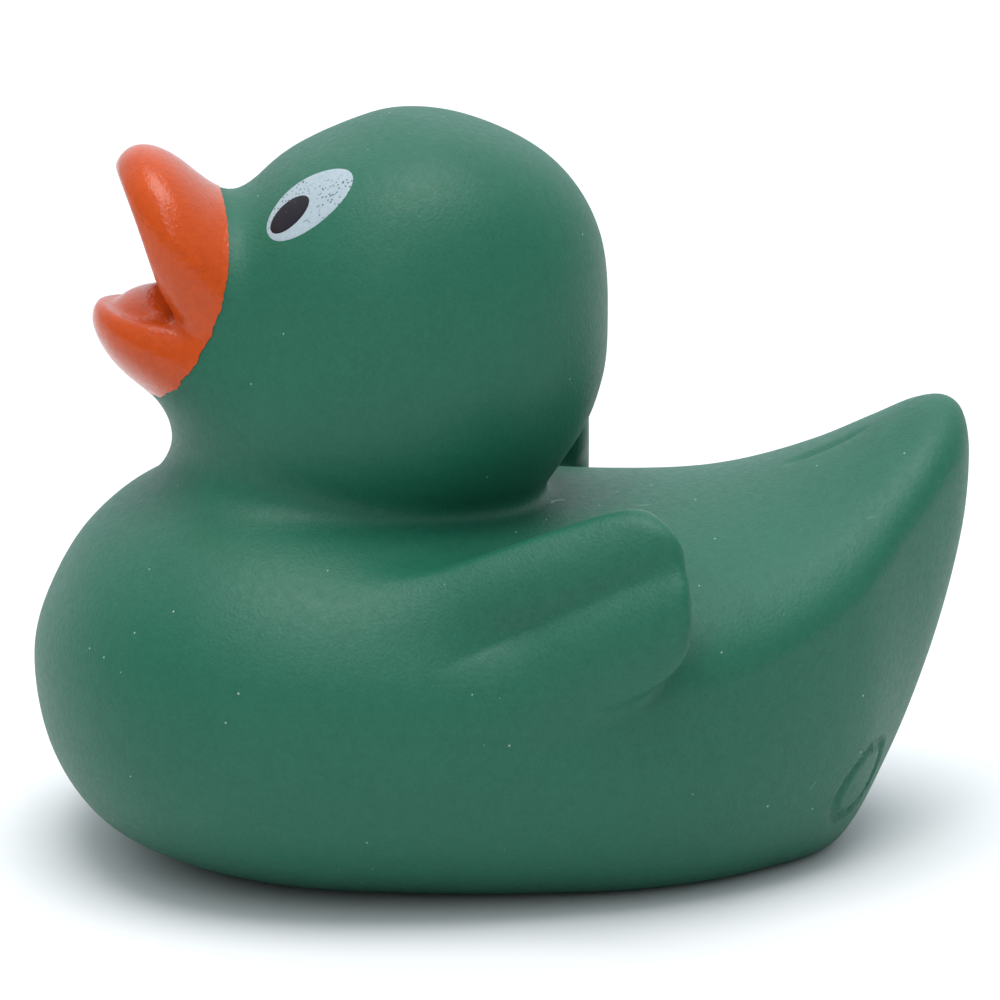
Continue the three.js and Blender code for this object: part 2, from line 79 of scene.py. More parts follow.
# Head sections from the crown (0) to the foot (90): angle, front, back, half width.
HEAD = np.array([
    [0, -8.8, -8.8, 0.0],
    [15, -13.2, -1.6, 9.2],
    [30, -20.3, 4.8, 14.8],
    [45, -24.8, 8.4, 17.8],
    [60, -27.0, 9.2, 18.9],
    [70, -28.5, 8.8, 18.6],
    [77, -29.2, 7.4, 17.3],
    [83, -29.2, 5.2, 15.3],
    [90, -28.4, 2.2, 12.2],
])
HEAD_FULLNESS = 2.15
TIP_PULL = 50.0                            # how fast both forms rise past their ends

# Radii of the blends where forms meet. Three of them widen away from a line across the
# duck, and give their least radius, growth, greatest radius and the line's y. The crease
# widens with the squared distance from its line, the other two with the distance past it.
CREASE = (1.8, 0.004, 5.0, 2.0)            # around the foot of the head
WING_ROOT = (1.2, 0.08, 3.2, 12.0)         # between wing and body, widening forwards
FEATHER_LINE = (0.5, 0.12, 1.2, 8.0)       # between a wing's feathers, widening rearwards
WING_RIM = 1.4                             # around a wing's rear edge
FEATHER_RIM = 0.8                          # along the upper feather's flat inner side
BASE_RIM = 0.9                             # around the flat base
BILL_ROOT = 5.0                            # between bill and head
BILL_MIDDLE = 4.5                          # between the bill's halves
LIP_RIM = 1.8
MOUTH_BACK = 1.2                           # where the mouth's two sides meet
HOLLOW_RIM = 1.0                           # around the hollow behind the lips
HOLLOW_MIDDLE = 1.5                        # between its two halves
TONGUE_ROOT = 0.9

# Ellipsoids: centre, radii, and a turn about the x axis in degrees, positive where the
# rear end is raised.
UPPER_BILL = ((0, -27.6, 53.7), (10.2, 5.0, 11.4), 28.5)
LOWER_BILL = ((0, -27.9, 45.2), (9.4, 9.5, 4.25), -28)
PALATE = ((0, -33.6, 55.4), (7.3, 3.8, 7.0), 26)
SCOOP = ((0, -31.2, 50.6), (6.9, 4.2, 3.0), -17)
TONGUE = ((0, -29.2, 46.7), (7.4, 6.4, 4.6), -18)
MOUTH_CORNER = (-29.9, 49.9)               # y, z
UPPER_LIP = (0.91, 0.42)                   # normals of the mouth's two sides, in y and z
LOWER_LIP = (-0.27, -0.96)
LIP_CURVE = (1.1, 7.2)                     # the upper lip's bulge, and its way up from the corner

# The two feather lobes of a wing, top to bottom, written like the ellipsoids.
FEATHERS = [
    ((25.0, 4.8, 31.0), (4.7, 27.0, 5.2), 19.5),
    ((27.4, 6.5, 25.1), (4.7, 19.0, 5.6), 26),
]
FEATHER_FULLNESS = 2.6                     # how square a feather is lengthwise
RIDGE = (-0.42, 0.91, 3.75)                # the flat inner side: its normal in x and z, its depth
WING_FLARE = 0.16                          # the feathers' slope outwards, to the rear
WING_END = (11.7, 4.6, 32.4, 24.6)         # rear edge: y, corner radius, its straight part
WING_UNDER = 0.42                          # slope of the wing's lower edge
WING_SWEEP = 0.15                          # the rear edge's lean to the rear, outwards
WING_X = 28.0                              # where across the duck the rear edge is at its y

PAINT_EDGE = (-47.0, 58.0, 22.0)           # a large arc seen from the side: y, z, radius
PAINT = 0.35                               # thickness of the bill's coat
PROUD = 0.05                               # how far the coat stands out of the vinyl
RAGGED = (0.02, 0.06, 56.0, 48.0)          # the edge's ripple: least, growth, from and to z

EYE = (10.4, -18.5, 60.9)                  # the left eye's centre
EYE_OUT = (0.41, -0.6, 0.69)               # the way it faces
EYE_ALONG = (0.15, 0.79, 0.59)             # the way its long axis runs
WHITE_OVAL = (0.0, 4.6, 3.2)               # shift along the eye, half length, half width
PUPIL_OVAL = (-1.9, 2.3, 1.6)
WHITE_LIFT, PUPIL_LIFT = 0.05, 0.09        # how far each print stands out of the vinyl
PRINT_ROOT = 0.25                          # how deep a print reaches into it
PRINT_RINGS, PRINT_SPOKES = 16, 72

TAIL_GROOVE = (0.6, 29.5, 4.2, 0.35)       # half width, middle y, half length, depth
TAIL_TOP = 30.0                            # the groove is only above this height

# The mark on the left of the stern, a plain oval line: centre, direction across, lean
# of its top to the rear, half width, half height, width of the line and its depth.
MARK = ((14.8, 30.8, 8.0), (-0.8, 0.6), 0.42, 3.6, 3.1, 0.8, 0.4)
MARK_SIDE = -6.0                           # it ends this far in, so it is on one side only

# The squeaker: the y of its upright axis, and [radius, height] profiles of the stepped
# hole it sits in and of its cup with the flange and a moulded ring.
SQUEAKER_Y = 2.0
RECESS = [(0, -1), (9.0, -1), (9.0, 1.7), (7.3, 1.7), (7.3, 11.6), (0, 11.6)]
CAP = [
    (1.5, 1.7), (1.5, 0.75), (1.65, 0.6), (3.6, 0.6), (3.75, 0.75), (4.15, 0.75),
    (4.3, 0.6), (8.45, 0.6), (8.63, 0.68), (8.7, 0.85), (8.7, 1.2), (8.6, 1.35),
    (8.4, 1.4), (7.2, 1.4), (7.0, 1.6), (7.0, 7.75), (6.9, 7.95), (6.7, 8.0),
    (6.3, 8.0), (6.1, 7.9), (6.0, 7.7), (6.0, 1.9), (5.8, 1.7), (1.5, 1.7),
]

SKIN_STEP = 0.5
BILL_STEP = 0.26
BLOCK = 4                                  # fine cells along one coarse cell
NEAR = 1.8                                 # coarse cells either side of the surface

# Light: the studio's brightness at the horizon, overhead and, added to those, behind the
# duck; the lamp; and the two narrow strips that draw the gloss on the bill.
SKY = (0.93, 1.0, 1.07, 1)
HORIZON, ZENITH, BEHIND = 0.2, 0.95, 0.68
LAMP = (76.0, 85.0, 1.9, 40.0)             # azimuth, elevation, strength, width in degrees
STRIPS = ((60.0, 58.0), (66.0, 44.0))      # azimuth and elevation of each
STRIP = (0.8, 0.03, 0.55, 0.5)             # distance, width, length in metres, watts

FLOOR_REACH = 4000.0

# Camera: it looks at the duck's left side, slightly from ahead and from above.
AZIMUTH, ELEVATION = 83.0, 14.0            # degrees from the front, and up
TARGET = Vector((0.0, -0.25, 31.0)) * MM
DISTANCE = 0.5                             # metres
LENS, SENSOR = 200.0, 36.0


# ------------------------------------------------------------------ small mathematics

def smooth_min(a, b, reach):
    h = np.clip(0.5 + 0.5 * (b - a) / reach, 0, 1)
    return b * (1 - h) + a * h - reach * h * (1 - h)


def smooth_max(a, b, reach):
    return -smooth_min(-a, -b, reach)


def smooth_step(low, high, value):
    t = np.clip((value - low) / (high - low), 0, 1)
    return t * t * (3 - 2 * t)


def slopes(table):
    """Three-point slopes of every column of a section table."""
    at = table[:, 0]
    step = np.diff(table[:, 1:], axis=0) / np.diff(at)[:, None]
    gap = np.diff(at)[:, None]
    inner = (step[:-1] * gap[1:] + step[1:] * gap[:-1]) / (gap[1:] + gap[:-1])
    return np.vstack([step[:1], inner, step[-1:]])


def along(table, angle):
    """The columns of a section table at an angle, by a smooth curve through its rows."""
    slope = slopes(table)
    i = np.clip(np.searchsorted(table[:, 0], angle, side="right") - 1, 0, len(table) - 2)
    width = table[i + 1, 0] - table[i, 0]
    t = (angle - table[i, 0]) / width
    blend = t * t * (3 - 2 * t)
    start = width * t * (1 - t) ** 2
    end = -width * t * t * (1 - t)
    return [
        table[i, c + 1] * (1 - blend) + table[i + 1, c + 1] * blend
        + slope[i, c] * start + slope[i + 1, c] * end
        for c in range(table.shape[1] - 1)
    ]


def turned_about_x(y, z, degrees):
    c, s = math.cos(math.radians(degrees)), math.sin(math.radians(degrees))
    return y * c + z * s, z * c - y * s


def ellipsoid(p, shape):
    (cx, cy, cz), (rx, ry, rz), lift = shape
    v, w = turned_about_x(p[1] - cy, p[2] - cz, lift)
    u = p[0] - cx
    near = np.sqrt((u / rx) ** 2 + (v / ry) ** 2 + (w / rz) ** 2)
    pull = np.sqrt((u / rx ** 2) ** 2 + (v / ry ** 2) ** 2 + (w / rz ** 2) ** 2)
    return near * (near - 1) / np.maximum(pull, 1e-6)


def as_distance(field, p, reach=0.05, least=0.02):
    """A field divided by the length of its gradient."""
    value = field(p)
    size = 0
    for axis in range(3):
        moved = list(p)
        moved[axis] = moved[axis] + reach
        size = size + ((field(moved) - value) / reach) ** 2
    return value / np.maximum(np.sqrt(size), least)


def growing(blend, way):
    """The radius of a blend that widens along a way measured from its line."""
    least, growth, most, _ = blend
    return np.clip(least + growth * way, least, most)


# ------------------------------------------------------------------ the duck's outside

def body_form(p):
    x, y, z = p
    u = (y + HALF_LENGTH) / (2 * HALF_LENGTH)
    angle = np.degrees(np.arccos(np.clip(1 - 2 * u, -1, 1)))
    beyond = np.maximum(np.maximum(-u, u - 1), 0) * 2 * HALF_LENGTH
    top, wide, bottom, half, upper, lower = along(BODY, angle)
    half = np.maximum(half, 1e-3)
    above = z > wide
    rise = np.maximum(np.where(above, top - wide, wide - bottom), 1e-3)
    full = np.where(above, upper, lower)
    across = (np.abs(x) / half) ** full + (np.abs(z - wide) / rise) ** full
    size = np.minimum(half, (top - bottom) / 2)
    return (across ** (2 / full) - 1) * size ** 2 + TIP_PULL * beyond


def head_form(p):
    x, y, z = p
    u = (HEAD_TOP - z) / (HEAD_TOP - HEAD_FOOT)
    angle = np.degrees(np.arccos(np.clip(1 - u, 0, 1)))
    beyond = np.maximum(-u, 0) * (HEAD_TOP - HEAD_FOOT)
    front, back, half = along(HEAD, angle)
    half = np.maximum(half, 1e-3)
    depth = np.maximum((back - front) / 2, 1e-3)
    across = np.abs(x / half) ** HEAD_FULLNESS
    across = across + np.abs((y - front - depth) / depth) ** HEAD_FULLNESS
    size = np.minimum(half, depth)
    return (across ** (2 / HEAD_FULLNESS) - 1) * size ** 2 + TIP_PULL * beyond


def feather_form(p, shape):
    """One feather, and how far a point is past its flat inner side."""
    (cx, cy, cz), radii, lift = shape
    v, w = turned_about_x(p[1] - cy, p[2] - cz, lift)
    u = p[0] - cx - WING_FLARE * (p[1] - cy)
    length = np.abs(v / radii[1]) ** FEATHER_FULLNESS
    across = (u / radii[0]) ** 2 + length + (w / radii[2]) ** 2
    return (np.sqrt(across) - 1) * min(radii), RIDGE[0] * u + RIDGE[1] * w - RIDGE[2]


def wing_form(p):
    """Two feathers before one rounded rear edge. The line between them softens rearwards."""
    q = (np.abs(p[0]), p[1], p[2])
    (upper, inner), (lower, _) = [feather_form(q, feather) for feather in FEATHERS]
    soft = growing(FEATHER_LINE, p[1] - FEATHER_LINE[3])
    joined = smooth_min(smooth_max(upper, inner, FEATHER_RIM), lower, soft)
    end, corner, top, bottom = WING_END
    past = p[1] - end - WING_SWEEP * (q[0] - WING_X) + corner
    beyond = np.maximum(p[2] - top, bottom - p[2] + WING_UNDER * past)
    edge = np.hypot(np.maximum(past, 0), np.maximum(beyond, 0)) - corner
    return smooth_max(joined, edge, WING_RIM)


def tail_groove(p):
    """A short shallow groove along the middle of the tail's top."""
    width, middle, half, depth = TAIL_GROOVE
    across = np.exp(-(p[0] / width) ** 2)
    length = np.clip(1 - np.abs((p[1] - middle) / half) ** 3, 0, 1)
    return depth * across * length * (p[2] > TAIL_TOP)


def mark_groove(p):
    """The plain oval line on the left of the stern."""
    (cx, cy, cz), (tx, ty), lean, half, high, line, depth = MARK
    up = p[2] - cz
    across = (p[0] - cx) * tx + (p[1] - cy) * ty - lean * up
    outward = (p[0] - cx) * ty - (p[1] - cy) * tx
    off = np.abs(np.hypot(across / half, up / high) - 1) * high
    return depth * (1 - smooth_step(0.25 * line, 0.7 * line, off)) * (outward > MARK_SIDE)


def closed_skin(p):
    """Everything but the mouth."""
    crease = growing(CREASE, (CREASE[3] - p[1]) ** 2)
    root = growing(WING_ROOT, WING_ROOT[3] - p[1])
    torso = smooth_min(as_distance(body_form, p), as_distance(head_form, p), crease)
    winged = smooth_min(torso, as_distance(wing_form, p), root)
    bill = smooth_min(ellipsoid(p, UPPER_BILL), ellipsoid(p, LOWER_BILL), BILL_MIDDLE)
    return smooth_min(smooth_max(winged, -p[2], BASE_RIM), bill, BILL_ROOT)


def skin(p):
    """The whole outside: a notch between the lips, a hollow behind it, and the tongue."""
    v, w = p[1] - MOUTH_CORNER[0], p[2] - MOUTH_CORNER[1]
    bulge, middle = LIP_CURVE
    along_lip = np.maximum(UPPER_LIP[0] * w - UPPER_LIP[1] * v, 0)
    upper = UPPER_LIP[0] * v + UPPER_LIP[1] * w + bulge * (1 - (along_lip / middle - 1) ** 2)
    lower = LOWER_LIP[0] * v + LOWER_LIP[1] * w
    notch = smooth_max(upper, lower, MOUTH_BACK)
    hollow = smooth_min(ellipsoid(p, PALATE), ellipsoid(p, SCOOP), HOLLOW_MIDDLE)
    opened = smooth_max(smooth_max(closed_skin(p), -notch, LIP_RIM), -hollow, HOLLOW_RIM)
    return smooth_min(opened, ellipsoid(p, TONGUE), TONGUE_ROOT)


def painted(p):
    """Below zero where the bill is painted. The sprayed edge is ragged low down."""
    x, y, z = p
    least, growth, high, low = RAGGED
    ragged = least + growth * smooth_step(high, low, z)
    ripple = np.sin(2.3 * z + 1.1 * x) + 0.8 * np.sin(5.9 * z - 2.7 * x + 1.0)
    ripple = ripple + 0.6 * np.sin(10.7 * z + 3.1 * y + 2.0) + 0.4 * np.sin(17.3 * z + 7.9 * x)
    edge_y, edge_z, radius = PAINT_EDGE
    return np.hypot(y - edge_y, z - edge_z) - radius + ragged * ripple


def vinyl(p):
    """The vinyl's surface: grooved, and let in under the bill's coat."""
    on_bill = smooth_step(-0.1, -0.9, painted(p)) * (p[2] > BILL_BOX[0][2])
    return skin(p) + tail_groove(p) + mark_groove(p) + (PAINT - PROUD) * on_bill


# ------------------------------------------------------------------ fields into meshes

def sampled(field, axes):
    """The field on a grid, worked out in full only near the surface."""
    coarse = [a[::BLOCK] for a in axes]
    rough = field(np.meshgrid(*coarse, indexing="ij"))
    nearest = [
        np.minimum((np.arange(len(a)) + BLOCK // 2) // BLOCK, len(c) - 1)
        for a, c in zip(axes, coarse)
    ]
    values = rough[np.ix_(*nearest)]
    close = np.abs(values) < NEAR * (coarse[0][1] - coarse[0][0])
    where = np.nonzero(close)
    values[close] = field([a[i] for a, i in zip(axes, where)])
    return values


def cell_vertices(values, axes, cells):
    """For each cell, the middle of the points where its edges cross the surface."""
    total = np.zeros((len(cells[0]), 3))
    crossings = np.zeros(len(cells[0]))
    for axis in range(3):
        others = [a for a in range(3) if a != axis]
        for i in (0, 1):
            for j in (0, 1):
                low = [index.copy() for index in cells]
                low[others[0]] += i
                low[others[1]] += j
                high = list(low)
                high[axis] = low[axis] + 1
                a, b = values[tuple(low)], values[tuple(high)]
                crossed = (a < 0) != (b < 0)
                t = np.where(crossed, a / np.where(crossed, a - b, 1), 0)
                for c in range(3):
                    start, end = axes[c][low[c]], axes[c][high[c]]
                    total[:, c] += np.where(crossed, start + t * (end - start), 0)
                crossings += crossed
    return total / crossings[:, None]


def edge_quads(inside, number, axis):
    """Quads around the crossed edges that run along one axis, facing out."""
    first, second = (axis + 1) % 3, (axis + 2) % 3
    low = [slice(1, -1)] * 3
    high = [slice(1, -1)] * 3
    low[axis], high[axis] = slice(0, -1), slice(1, None)
    a, b = inside[tuple(low)], inside[tuple(high)]
    base = np.argwhere(a != b) + 1
    base[:, axis] -= 1

    def cell(back_first, back_second):
        at = base.copy()
        at[:, first] -= back_first
        at[:, second] -= back_second
        return number[tuple(at.T)]

    ring = np.stack([cell(1, 1), cell(0, 1), cell(0, 0), cell(1, 0)], 1)
    leaving = a[a != b]
    ring[~leaving] = ring[~leaving][:, ::-1]
    return ring


def surface_net(values, axes):
    """One vertex in each cell that the surface crosses, one quad across each crossed edge."""
    inside = values < 0
    n = [size - 1 for size in values.shape]
    count = sum(
        inside[i:n[0] + i, j:n[1] + j, k:n[2] + k].astype(int)
        for i in (0, 1) for j in (0, 1) for k in (0, 1)
    )
    cells = np.nonzero((count > 0) & (count < 8))
    number = -np.ones(count.shape, int)
    number[cells] = np.arange(len(cells[0]))
    quads = [edge_quads(inside, number, axis) for axis in range(3)]
    return cell_vertices(values, axes, cells), np.concatenate(quads)


def gradient(field, points, reach=0.02):
    parts = []
    for axis in range(3):
        shift = np.zeros(3)
        shift[axis] = reach
        ahead, behind = points + shift, points - shift
        parts.append((field(list(ahead.T)) - field(list(behind.T))) / (2 * reach))
    return np.stack(parts, 1)


def settled(field, points, passes=3, longest=0.8):
    """Moves points onto the surface field = 0."""
    for _ in range(passes):
        g = gradient(field, points)
        pull = np.maximum((g ** 2).sum(1), 0.05)
        step = np.clip(field(list(points.T)) / pull, -longest, longest)
        points = points - step[:, None] * g
    return points


def meshed(field, box, step):
    """The surface field = 0 within a box, as vertices and quads."""
    low, high = box
    axes = []
    for a, b in zip(low, high):
        blocks = math.ceil((b - a) / (step * BLOCK))
        axes.append(a + step * np.arange(blocks * BLOCK + 1))
    vertices, quads = surface_net(sampled(field, axes), axes)
    return settled(field, vertices), quads


def new_object(name, vertices, faces):
    """An object in the scene, from vertices in millimetres."""
    mesh = bpy.data.meshes.new(name)
    mesh.from_pydata((np.asarray(vertices, float) * MM).tolist(), [], [list(f) for f in faces])
    mesh.update()
    obj = bpy.data.objects.new(name, mesh)
    bpy.context.scene.collection.objects.link(obj)
    return obj


def shade_smooth(obj, degrees=None):
    """Smooth shading, broken at edges sharper than an angle if one is given."""
    mesh = obj.data
    mesh.polygons.foreach_set("use_smooth", [True] * len(mesh.polygons))
    if degrees is not None:
        mesh.set_sharp_from_angle(angle=math.radians(degrees))
    mesh.update()


def dressed(obj, body, material, nodes):
    """Gives a finished piece its material and its place in the frame."""
    obj.data.materials.clear()
    obj.data.materials.append(material)
    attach(obj, body)
    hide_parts(*nodes)


# ------------------------------------------------------------------ pieces

def lathe(name, profile, segments=96):
    """A turned piece about the squeaker's axis. Its profile is closed or ends on the axis."""
    rings = []
    for k in range(segments):
        a = 2 * math.pi * k / segments
        rings.append([(r * math.sin(a), SQUEAKER_Y - r * math.cos(a), z) for r, z in profile])
    n = len(profile)
    closed = profile[0] == profile[-1]
    count = n - 1 if closed else n
    vertices, index = [], {}
    for k in range(segments):
        for i in range(count):
            on_axis = profile[i][0] < 1e-9
            key = (0, i) if on_axis else (k, i)
            if key not in index:
                index[key] = len(vertices)
                vertices.append(rings[k][i])
    faces = []
    for k in range(segments):
        for i in range(n - 1):
            j = (i + 1) % count
            corners = [(k, i), ((k + 1) % segments, i), ((k + 1) % segments, j), (k, j)]
            ids = [index[(0, c[1]) if profile[c[1]][0] < 1e-9 else c] for c in corners]
            face = [v for m, v in enumerate(ids) if v != ids[m - 1]]
            if len(face) > 2:
                faces.append(face)
    return new_object(name, vertices, faces)


def flat_base(points, band=0.12):
    """Settles the lowest points of the skin onto the floor."""
    low = points[:, 2] < band
    points[low, 2] = 0.0
    return points


def vinyl_skin():
    """The vinyl's outside, with the squeaker's hole cut into its base."""
    points, quads = meshed(vinyl, DUCK_BOX, SKIN_STEP)
    obj = new_object("duck_skin", flat_base(points), quads)
    cutter = lathe("recess_cutter", RECESS)
    cut = obj.modifiers.new("recess", "BOOLEAN")
    cut.operation, cut.solver, cut.object = "DIFFERENCE", "EXACT", cutter
    obj = applied(obj)
    bpy.data.objects.remove(cutter)
    shade_smooth(obj, 50)
    return obj


def applied(obj):
    """Replaces an object's mesh by the one its modifiers make."""
    graph = bpy.context.evaluated_depsgraph_get()
    graph.update()
    mesh = bpy.data.meshes.new_from_object(obj.evaluated_get(graph))
    obj.modifiers.clear()
    obj.data = mesh
    return obj


def keep_where(obj, region):
    """Cuts a mesh along region = 0 and keeps the part where it is negative."""
    bm = bmesh.new()
    bm.from_mesh(obj.data)
    bmesh.ops.triangulate(bm, faces=bm.faces[:])
    points = np.array([v.co for v in bm.verts]) / MM
    value = dict(zip(bm.verts, region(list(points.T))))
    cuts = set()
    for edge in bm.edges[:]:
        a, b = edge.verts
        if (value[a] < 0) != (value[b] < 0):
            _, new = bmesh.utils.edge_split(edge, a, value[a] / (value[a] - value[b]))
            cuts.add(new)
    for face in bm.faces[:]:
        ends = [v for v in face.verts if v in cuts]
        if len(ends) == 2 and len(face.verts) > 3:
            bmesh.utils.face_split(face, *ends)
    outside = [f for f in bm.faces if any(value[v] > 0 for v in f.verts if v not in cuts)]
    bmesh.ops.delete(bm, geom=outside, context="FACES")
    bm.to_mesh(obj.data)
    bm.free()


def thicken(obj, depth):
    """Gives an open mesh a second side and a rim, so that it is a closed sheet."""
    bm = bmesh.new()
    bm.from_mesh(obj.data)
    bm.normal_update()
    bmesh.ops.solidify(bm, geom=bm.faces[:], thickness=depth * MM)
    bm.to_mesh(obj.data)
    bm.free()


def bill_coat():
    """The orange coat, a closed sheet just proud of the vinyl."""
    def proud(p):
        return skin(p) - PROUD

    points, quads = meshed(proud, BILL_BOX, BILL_STEP)
    obj = new_object("bill_coat", points, quads)
    keep_where(obj, painted)
    thicken(obj, PAINT)
    shade_smooth(obj, 60)
    return obj


def eye_axes(side):
    """The way out of an eye, and the ways along and across it."""
    mirrored = np.array([side, 1, 1])
    out = np.array(EYE_OUT) * mirrored
    out = out / np.linalg.norm(out)
    across = np.cross(np.array(EYE_ALONG) * mirrored, out)
    across = across / np.linalg.norm(across)
    return out, np.cross(out, across), across


def print_grid(side, oval, passes=6, least=0.3):
    """A print's points, pushed onto the skin, and each one's share of the way to the edge."""
    shift, long, short = oval
    out, lengthwise, across = eye_axes(side)
    centre = np.array(EYE) * np.array([side, 1, 1]) + shift * lengthwise
    share = np.sin(np.linspace(0, math.pi / 2, PRINT_RINGS + 1)[1:])
    angle = np.linspace(0, 2 * math.pi, PRINT_SPOKES, endpoint=False)
    grid = [centre[None]]
    for r in share:
        grid.append(centre + long * r * np.cos(angle)[:, None] * lengthwise
                    + short * r * np.sin(angle)[:, None] * across)
    points = np.concatenate(grid)
    for _ in range(passes):
        slope = gradient(skin, points) @ out
        points = points - (skin(list(points.T)) / np.maximum(slope, least))[:, None] * out
    return points, np.concatenate([[0], np.repeat(share, PRINT_SPOKES)])


def print_faces(side, start):
    """The faces of a print's top, then of its underside from the vertex start onwards."""
    def at(level, k, below):
        if level == 0:
            return start if below else 0
        index = 1 + (level - 1) * PRINT_SPOKES + k % PRINT_SPOKES
        return start + index if below and level < PRINT_RINGS else index

    faces = []
    for below in (False, True):
        for level in range(PRINT_RINGS):
            for k in range(PRINT_SPOKES):
                face = [at(level, k, below), at(level + 1, k, below),
                        at(level + 1, k + 1, below), at(level, k + 1, below)]
                face = [v for m, v in enumerate(face) if v != face[m - 1]]
                faces.append(face[::-1] if below == (side > 0) else face)
    return faces


def eye_print(name, side, oval, lift, sunk=0.02, squareness=24):
    """A thin print on the head: an oval grid, its edge rounded down to just below the skin."""
    flat, radius = print_grid(side, oval)
    rounded = lift - (lift + sunk) * radius ** squareness
    normal = gradient(skin, flat)
    normal = normal / np.linalg.norm(normal, axis=1)[:, None]
    top = flat + rounded[:, None] * normal
    bottom = flat[:-PRINT_SPOKES] - PRINT_ROOT * normal[:-PRINT_SPOKES]
    obj = new_object(name, np.concatenate([top, bottom]), print_faces(side, len(top)))
    shade_smooth(obj)
    return obj


def squeaker_cap():
    """The squeaker's cup and flange, with rounded edges."""
    obj = lathe("squeaker_cap", CAP)
    shade_smooth(obj, 40)
    return obj


# ------------------------------------------------------------------ materials

def blank_material(name):
    """A new material with its nodes and its shader."""
    material = bpy.data.materials.new(name)
    material.use_nodes = True
    tree = material.node_tree
    return material, tree, tree.nodes["Principled BSDF"]


def add(tree, kind, inputs=(), **settings):
    """A node with some settings, and some of its sockets set to values or linked."""
    node = tree.nodes.new(kind)
    for key, value in settings.items():
        setattr(node, key, value)
    for key, value in dict(inputs).items():
        if isinstance(value, bpy.types.NodeSocket):
            tree.links.new(value, node.inputs[key])
        else:
            node.inputs[key].default_value = value
    return node


def noise(tree, place, scale, detail=2.0, roughness=0.5):
    """A noise of so many cells to the metre."""
    inputs = {"Vector": place, "Scale": scale, "Detail": detail, "Roughness": roughness}
    return add(tree, "ShaderNodeTexNoise", inputs).outputs["Fac"]


def between(tree, value, low, high, to_low=0.0, to_high=1.0):
    """A value's place between two limits, as a share or between two other values."""
    inputs = {
        "Value": value, "From Min": low, "From Max": high, "To Min": to_low, "To Max": to_high,
    }
    return add(tree, "ShaderNodeMapRange", inputs).outputs["Result"]


def mixed(tree, share, first, second):
    """Two colours mixed: sockets 6, 7 and output 2 are a mix node's colours."""
    inputs = {0: share, 6: first, 7: second}
    return add(tree, "ShaderNodeMix", inputs, data_type="RGBA").outputs[2]


def product(tree, a, b):
    return add(tree, "ShaderNodeMath", {0: a, 1: b}, operation="MULTIPLY").outputs[0]


def bumped(tree, height, distance, strength, under=None):
    """A bump of a depth in metres, on top of another one if given."""
    inputs = {"Height": height, "Distance": distance, "Strength": strength}
    if under is not None:
        inputs["Normal"] = under
    return add(tree, "ShaderNodeBump", inputs).outputs["Normal"]


def specks(tree, place, scale, radius, share):
    """1 on small scattered dots: radius in metres, share of the cells that hold one."""
    cells = add(tree, "ShaderNodeTexVoronoi", {"Vector": place, "Scale": scale})
    dot = between(tree, cells.outputs["Distance"], radius * scale, 0.6 * radius * scale)
    split = add(tree, "ShaderNodeSeparateColor", {"Color": cells.outputs["Color"]})
    chosen = between(tree, split.outputs["Red"], 1 - share, 1 - share + 0.01)
    return product(tree, dot, chosen)


def lines(tree, place, scale, width):
    """1 along the thin curves where a noise passes its middle value."""
    value = noise(tree, place, scale, 1)
    off = add(tree, "ShaderNodeMath", {0: value, 1: 0.5}, operation="SUBTRACT").outputs[0]
    off = add(tree, "ShaderNodeMath", {0: off}, operation="ABSOLUTE").outputs[0]
    return between(tree, off, width, 0.5 * width)


def vinyl_material():
    """Satin green: a cloudy ground, two mottles, dust and short hairs, and a fine grain."""
    material, tree, shader = blank_material("green_vinyl")
    place = add(tree, "ShaderNodeTexCoord").outputs["Object"]
    cloud = between(tree, noise(tree, place, 55, 3), 0.3, 0.7)
    colour = mixed(tree, cloud, (0.005, 0.098, 0.054, 1), (0.007, 0.110, 0.062, 1))
    mottle = between(tree, noise(tree, place, 900, 3), 0.35, 0.65)
    colour = mixed(tree, product(tree, mottle, 0.25), colour, (0.015, 0.135, 0.08, 1))
    fine = between(tree, noise(tree, place, 3600, 2), 0.35, 0.65)
    colour = mixed(tree, product(tree, fine, 0.3), colour, (0.017, 0.145, 0.088, 1))
    dust = specks(tree, place, 380, 0.00012, 0.9)
    colour = mixed(tree, product(tree, dust, 0.8), colour, (0.42, 0.58, 0.52, 1))
    hairs = product(tree, lines(tree, place, 95, 0.006), specks(tree, place, 110, 0.0013, 0.8))
    colour = mixed(tree, product(tree, hairs, 0.45), colour, (0.40, 0.58, 0.50, 1))
    tree.links.new(colour, shader.inputs["Base Color"])
    rough = between(tree, noise(tree, place, 1500, 3), 0.3, 0.7, 0.46, 0.56)
    tree.links.new(rough, shader.inputs["Roughness"])
    grain = bumped(tree, noise(tree, place, 3400, 2, 0.6), 0.00006, 0.9)
    grain = bumped(tree, noise(tree, place, 260, 3), 0.00012, 0.35, grain)
    grain = bumped(tree, dust, 0.0001, 0.8, grain)
    tree.links.new(grain, shader.inputs["Normal"])
    shader.inputs["IOR"].default_value = 1.42
    return material


